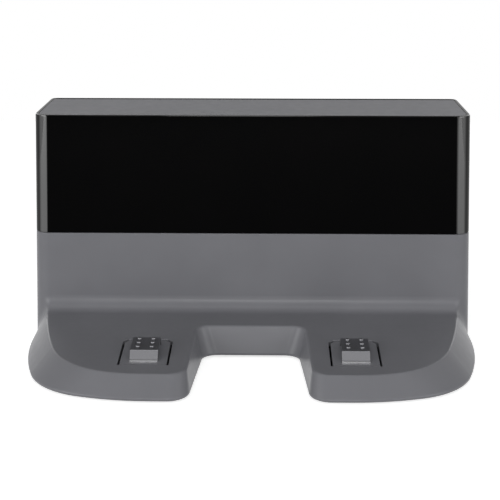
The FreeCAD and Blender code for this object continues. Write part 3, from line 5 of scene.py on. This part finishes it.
import bpy
from mathutils import Euler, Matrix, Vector


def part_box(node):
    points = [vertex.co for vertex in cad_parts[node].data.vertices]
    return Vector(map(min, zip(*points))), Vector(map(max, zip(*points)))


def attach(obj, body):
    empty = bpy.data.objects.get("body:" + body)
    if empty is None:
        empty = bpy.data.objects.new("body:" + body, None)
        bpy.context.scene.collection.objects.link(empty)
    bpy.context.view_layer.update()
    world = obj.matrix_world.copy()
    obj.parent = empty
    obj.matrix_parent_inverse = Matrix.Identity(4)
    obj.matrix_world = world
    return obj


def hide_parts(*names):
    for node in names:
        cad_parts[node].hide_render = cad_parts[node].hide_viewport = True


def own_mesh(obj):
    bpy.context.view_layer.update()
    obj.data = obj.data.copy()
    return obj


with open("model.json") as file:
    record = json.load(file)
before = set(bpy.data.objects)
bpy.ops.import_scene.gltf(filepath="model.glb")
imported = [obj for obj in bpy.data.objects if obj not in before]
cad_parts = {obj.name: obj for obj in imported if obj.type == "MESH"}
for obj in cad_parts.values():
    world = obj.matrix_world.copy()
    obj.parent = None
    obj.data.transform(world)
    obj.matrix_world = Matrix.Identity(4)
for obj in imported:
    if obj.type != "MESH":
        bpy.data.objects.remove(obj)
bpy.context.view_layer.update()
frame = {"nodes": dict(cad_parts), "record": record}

nodes = frame["nodes"]
MM = 0.001
WHITE = (1.0, 1.0, 1.0, 1.0)

# The photograph's camera: 85 mm lens, looking down at the dock from the front.
LENS_MM = 85
SENSOR_MM = 36
EYE = (0.00857, -0.52508, 0.20576)
LOOK_DOWN = math.radians(16.56)
TURN_LEFT = math.radians(1.006)

# Each lamp's place, the height that it aims at on the dock's middle line, its size in metres and its watts.
LAMPS = {
    "front_box": ((0.0, -0.66, 0.29), 0.06, (0.3, 0.15), 1.3),
    "left_box": ((-0.80, -0.60, 0.28), 0.05, (0.6, 0.6), 5.4),
    "right_box": ((0.80, -0.60, 0.28), 0.05, (0.6, 0.6), 3.8),
    "left_rim": ((-0.50, 0.85, 0.25), 0.06, (0.15, 0.6), 0.8),
    "right_rim": ((0.50, 0.85, 0.25), 0.06, (0.15, 0.6), 0.8),
    "top_strip": ((0.0, -0.25, 0.9), 0.05, (1.2, 0.08), 1.15),
}
AIR_LIGHT = 0.20
AIR_SEEN = 1.0
FLOOR_HALF = 0.6
FLOOR_LIFT = 0.65


def feed(tree, socket, value):
    """Links another node's output to a socket, or sets the socket to a number or colour."""
    if isinstance(value, bpy.types.NodeSocket):
        tree.links.new(value, socket)
    else:
        socket.default_value = value


def add_node(tree, kind, **inputs):
    """New shader node whose inputs, by name, are set or fed."""
    node = tree.nodes.new(f"ShaderNode{kind}")
    for name, value in inputs.items():
        feed(tree, node.inputs[name.replace("_", " ")], value)
    return node


def math_node(tree, operation, first, second):
    """Result of an operation on the outputs of two nodes."""
    node = add_node(tree, "Math")
    node.operation = operation
    feed(tree, node.inputs[0], first)
    feed(tree, node.inputs[1], second)
    return node.outputs[0]


class Shader:
    """A material that is built up round one principled shader."""

    def __init__(self, name):
        self.material = bpy.data.materials.new(name)
        self.material.use_nodes = True
        self.tree = self.material.node_tree
        self.principled = self.tree.nodes["Principled BSDF"]
        coordinates = self.add("TexCoord").outputs
        self.place, self.normal = coordinates["Object"], coordinates["Normal"]

    def add(self, kind, **inputs):
        return add_node(self.tree, kind, **inputs)

    def set(self, **values):
        """Sets or feeds inputs of the principled shader."""
        for name, value in values.items():
            feed(self.tree, self.principled.inputs[name.replace("_", " ")], value)
        return self

    def noise(self, grain, detail=4.0, stretch=None):
        """Noise whose features are about one grain across, in metres."""
        place = self.place
        if stretch:
            place = self.add("Mapping", Vector=place, Scale=stretch).outputs["Vector"]
        return self.add("TexNoise", Vector=place, Scale=1 / grain, Detail=detail).outputs["Fac"]

    def cells(self, grain):
        """Distance to the nearest of many pores that lie about one grain apart, in metres."""
        return self.add("TexVoronoi", Vector=self.place, Scale=1 / grain).outputs["Distance"]

    def spread(self, factor, low, high, start=0.3, end=0.7):
        """Number that goes from low to high as the factor goes from start to end."""
        node = self.add("MapRange", Value=factor, From_Min=start, From_Max=end, To_Min=low, To_Max=high)
        return node.outputs["Result"]

    def tint(self, factor, low, high, start=0.3, end=0.7):
        """Colour that goes from low to high as the factor goes from start to end."""
        node = self.add("Mix", Factor=self.spread(factor, 0.0, 1.0, start, end))
        node.data_type = "RGBA"
        first, second = (socket for socket in node.inputs if socket.type == "RGBA")
        first.default_value = (*low, 1.0)
        second.default_value = (*high, 1.0)
        return next(socket for socket in node.outputs if socket.type == "RGBA")

    def along(self, vector, axis):
        """Share of a place, in metres, or of a normal along one axis."""
        return self.add("SeparateXYZ", Vector=vector).outputs[axis]

    def bump(self, height, strength, distance):
        node = self.add("Bump", Height=height, Strength=strength, Distance=distance)
        return self.set(Normal=node.outputs["Normal"])


def moulded(name, low, high, roughness, grain=0.25 * MM, depth=0.02 * MM, strength=0.35):
    """Moulded plastic: a fine spark-eroded grain, faint flow clouds and uneven gloss."""
    shader = Shader(name)
    clouds = shader.noise(28 * MM, detail=3.0)
    gloss = shader.noise(3 * MM, detail=5.0)
    shader.set(Base_Color=shader.tint(clouds, low, high),
               Roughness=shader.spread(gloss, roughness - 0.03, roughness + 0.03))
    return shader.bump(shader.noise(grain, detail=2.0), strength, depth)


def drawn(name, roughness, stretch):
    """Metal with fine drawn lines in its gloss and surface, and the lines themselves for its colour."""
    shader = Shader(name).set(Metallic=1.0)
    lines = shader.noise(0.35 * MM, detail=3.0, stretch=stretch)
    shader.set(Roughness=shader.spread(lines, roughness - 0.05, roughness + 0.05))
    return shader.bump(lines, 0.15, 0.01 * MM), lines


def metal(name, low, high, roughness, stretch=(1.0, 12.0, 1.0)):
    """Rolled or plated metal."""
    shader, lines = drawn(name, roughness, stretch)
    return shader.set(Base_Color=shader.tint(lines, low, high))


def contact_metal():
    """Dull plated sheet, with drawn lines and a painted highlight: a bright band of colour along its foot.
    """
    shader, lines = drawn("contact_metal", 0.34, (1.0, 12.0, 1.0))
    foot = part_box("contact_plate_left")[0][1]
    # painted highlight: the colour turns bright in a band along the foot of the plate
    foot_highlight = shader.spread(shader.along(shader.place, "Y"), 1.0, 0.0, foot + 0.7 * MM, foot + 1.0 * MM)
    shade = math_node(shader.tree, "MAXIMUM", foot_highlight, shader.spread(lines, 0.0, 0.1))
    return shader.set(Base_Color=shader.tint(shade, (0.14, 0.14, 0.15), (0.80, 0.80, 0.81), 0.0, 1.0))


def housing_grey():
    """Satin grey plastic, with a coarser, duller texture on the top of the tower."""
    grey = moulded("housing_grey", (0.128, 0.129, 0.140), (0.140, 0.141, 0.153), 0.34)
    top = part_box("front_housing")[1][2]
    dull = grey.spread(grey.along(grey.place, "Z"), 0.0, 0.2, top - 1.0 * MM, top - 0.5 * MM)
    even = grey.principled.inputs["Roughness"].links[0].from_socket
    return grey.set(Roughness=math_node(grey.tree, "ADD", even, dull), Specular_IOR_Level=0.25)


def window_black():
    """Polished cover that passes only infrared light: near black, with a bright sheen on its corners."""
    shader = Shader("window_black").set(Specular_IOR_Level=0.02, Coat_IOR=2.0, Coat_Roughness=0.06)
    clouds = shader.noise(40 * MM, detail=2.0)
    shader.set(Base_Color=shader.tint(clouds, (0.0004, 0.0004, 0.0005), (0.0008, 0.0007, 0.0008)),
               Roughness=shader.spread(shader.noise(8 * MM), 0.05, 0.09))
    sideways = shader.along(shader.normal, "X")
    turn = math_node(shader.tree, "MULTIPLY", sideways, sideways)
    front_half = shader.spread(turn, 0.0, 0.85, 0.004, 0.02)
    side_half = shader.spread(turn, 0.0, 0.7, 0.25, 0.45)
    return shader.set(Coat_Weight=math_node(shader.tree, "SUBTRACT", front_half, side_half))


def cover_black():
    """Black plastic with a coarse, dull texture."""
    shader = moulded("cover_black", (0.010, 0.010, 0.011), (0.018, 0.018, 0.020), 0.75, grain=0.4 * MM)
    return shader.set(Specular_IOR_Level=0.0)


def rubber(name, low, high):
    shader = moulded(name, low, high, 0.72, grain=0.5 * MM, depth=0.04 * MM, strength=0.5)
    return shader.set(Specular_IOR_Level=0.3)


def board_green():
    """Circuit board: solder mask over copper tracks that show as raised, lighter bands."""
    shader = Shader("board_green").set(Coat_Weight=0.4)
    tracks = shader.noise(2.2 * MM, detail=0.0, stretch=(0.35, 1.0, 1.6))
    shader.set(Base_Color=shader.tint(tracks, (0.006, 0.055, 0.022), (0.015, 0.12, 0.05), 0.46, 0.52),
               Roughness=shader.spread(tracks, 0.30, 0.42))
    return shader.bump(shader.spread(tracks, 0.0, 1.0, 0.46, 0.52), 0.4, 0.05 * MM)


def ferrite():
    """Sintered core with fine pores."""
    shader = Shader("ferrite").set(Metallic=0.3)
    pores = shader.cells(0.6 * MM)
    shader.set(Base_Color=shader.tint(pores, (0.018, 0.018, 0.02), (0.045, 0.045, 0.048)),
               Roughness=shader.spread(pores, 0.6, 0.45))
    return shader.bump(pores, 0.3, 0.05 * MM)


def winding_tape():
    """Polyester tape wound in overlapping turns."""
    shader = Shader("winding_tape").set(Coat_Weight=0.3)
    turns = shader.noise(1.4 * MM, detail=1.0, stretch=(0.1, 0.1, 1.0))
    shader.set(Base_Color=shader.tint(turns, (0.55, 0.30, 0.02), (0.72, 0.44, 0.04)),
               Roughness=shader.spread(turns, 0.25, 0.38))
    return shader.bump(turns, 0.3, 0.06 * MM)


def can_sleeve():
    """Shrunk sleeve of a capacitor, with small folds along it."""
    shader = Shader("can_sleeve").set(Coat_Weight=0.5)
    folds = shader.noise(1.8 * MM, detail=2.0, stretch=(1.0, 0.2, 1.0))
    shader.set(Base_Color=shader.tint(folds, (0.006, 0.010, 0.035), (0.012, 0.018, 0.055)),
               Roughness=shader.spread(folds, 0.22, 0.34))
    return shader.bump(folds, 0.2, 0.05 * MM)


def emitter_tint():
    """Dark violet resin of the infrared emitters."""
    shader = Shader("emitter_tint").set(Transmission_Weight=0.6, IOR=1.5)
    haze = shader.noise(2 * MM, detail=2.0)
    return shader.set(Base_Color=shader.tint(haze, (0.05, 0.03, 0.09), (0.09, 0.06, 0.14)),
                      Roughness=shader.spread(haze, 0.04, 0.12))


def fuse_glass():
    """Faintly clouded glass tube."""
    shader = Shader("fuse_glass").set(Transmission_Weight=0.7, IOR=1.48)
    haze = shader.noise(1.5 * MM, detail=3.0)
    return shader.set(Base_Color=shader.tint(haze, (0.72, 0.74, 0.75), (0.85, 0.87, 0.88)),
                      Roughness=shader.spread(haze, 0.05, 0.15))


FINISHES = {
    "housing_grey": housing_grey(),
    "window_black": window_black(),
    "cover_black": cover_black(),
    "foot_rubber": rubber("foot_rubber", (0.018, 0.018, 0.018), (0.030, 0.030, 0.030)),
    "contact_metal": contact_metal(),
    "spring_metal": metal("spring_metal", (0.46, 0.44, 0.41), (0.60, 0.58, 0.54), 0.30),
    "screw_metal": metal("screw_metal", (0.05, 0.05, 0.055), (0.11, 0.11, 0.115), 0.38, (1.0, 1.0, 1.0)),
    "pin_metal": metal("pin_metal", (0.62, 0.61, 0.58), (0.74, 0.73, 0.70), 0.18),
    "board_green": board_green(),
    "emitter_tint": emitter_tint(),
    "ferrite": ferrite(),
    "winding_tape": winding_tape(),
    "can_sleeve": can_sleeve(),
    "fuse_glass": fuse_glass(),
    "lead_red": rubber("lead_red", (0.22, 0.012, 0.012), (0.30, 0.02, 0.018)),
    "lead_black": rubber("lead_black", (0.010, 0.010, 0.010), (0.018, 0.018, 0.018)),
}


def placed(name, data):
    """New object in the scene."""
    thing = bpy.data.objects.new(name, data)
    bpy.context.scene.collection.objects.link(thing)
    return thing


def paint_nodes():
    for subpart in frame["record"]["subparts"]:
        finish = FINISHES[subpart["material_slot"]].material
        for slot in nodes[subpart["node"]].material_slots:
            slot.material = finish


def sprung_strip(side):
    """Leaf spring's mesh as an object of its own on the dock, with the original node hidden."""
    node = f"leaf_spring_{side}"
    strip = placed(f"leaf_strip_{side}", nodes[node].data.copy())
    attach(strip, "dock")
    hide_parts(node)
    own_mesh(strip)


def seen_strength(tree, scattered, seen):
    """Strength for rays that come from the camera, gloss or glass, and another for scattered light."""
    paths = add_node(tree, "LightPath").outputs
    factor = paths["Is Camera Ray"]
    for name in ("Is Glossy Ray", "Is Transmission Ray"):
        factor = math_node(tree, "MAXIMUM", factor, paths[name])
    return add_node(tree, "MapRange", Value=factor, To_Min=scattered, To_Max=seen).outputs["Result"]


def floor():
    """Pale floor that takes the dock's shadow, lifted to white where it is seen."""
    white = Shader("floor_white")
    white.set(Base_Color=(0.80, 0.80, 0.80, 1.0), Roughness=0.9, Emission_Color=WHITE,
              Emission_Strength=seen_strength(white.tree, 0.0, FLOOR_LIFT))
    near, far = -FLOOR_HALF, FLOOR_HALF
    mesh = bpy.data.meshes.new("floor")
    mesh.from_pydata([(near, near, 0), (far, near, 0), (far, far, 0), (near, far, 0)], [], [(0, 1, 2, 3)])
    mesh.materials.append(white.material)
    plane = placed("floor", mesh)


def area_light(name, place, aim, size, power):
    data = bpy.data.lights.new(name, "AREA")
    data.shape = "RECTANGLE"
    data.size, data.size_y = size
    data.energy = power
    lamp = placed(name, data)
    lamp.location = place
    lamp.rotation_euler = (Vector((0, 0, aim)) - Vector(place)).to_track_quat("-Z", "Y").to_euler()


def world_light():
    """Even light from all round, seen as white."""
    world = bpy.data.worlds.new("studio")
    bpy.context.scene.world = world
    world.use_nodes = True
    tree = world.node_tree
    background = tree.nodes["Background"].inputs
    feed(tree, background["Color"], WHITE)
    feed(tree, background["Strength"], seen_strength(tree, AIR_LIGHT, AIR_SEEN))


def camera():
    data = bpy.data.cameras.new("camera")
    data.lens = LENS_MM
    data.sensor_width = SENSOR_MM
    eye = placed("camera", data)
    eye.location = EYE
    eye.rotation_euler = Euler((math.pi / 2 - LOOK_DOWN, 0.0, TURN_LEFT))
    bpy.context.scene.camera = eye


paint_nodes()
for side in ("left", "right"):
    sprung_strip(side)
floor()
world_light()
for name, lamp in LAMPS.items():
    area_light(name, *lamp)
camera()
bpy.context.scene.view_settings.view_transform = "Standard"
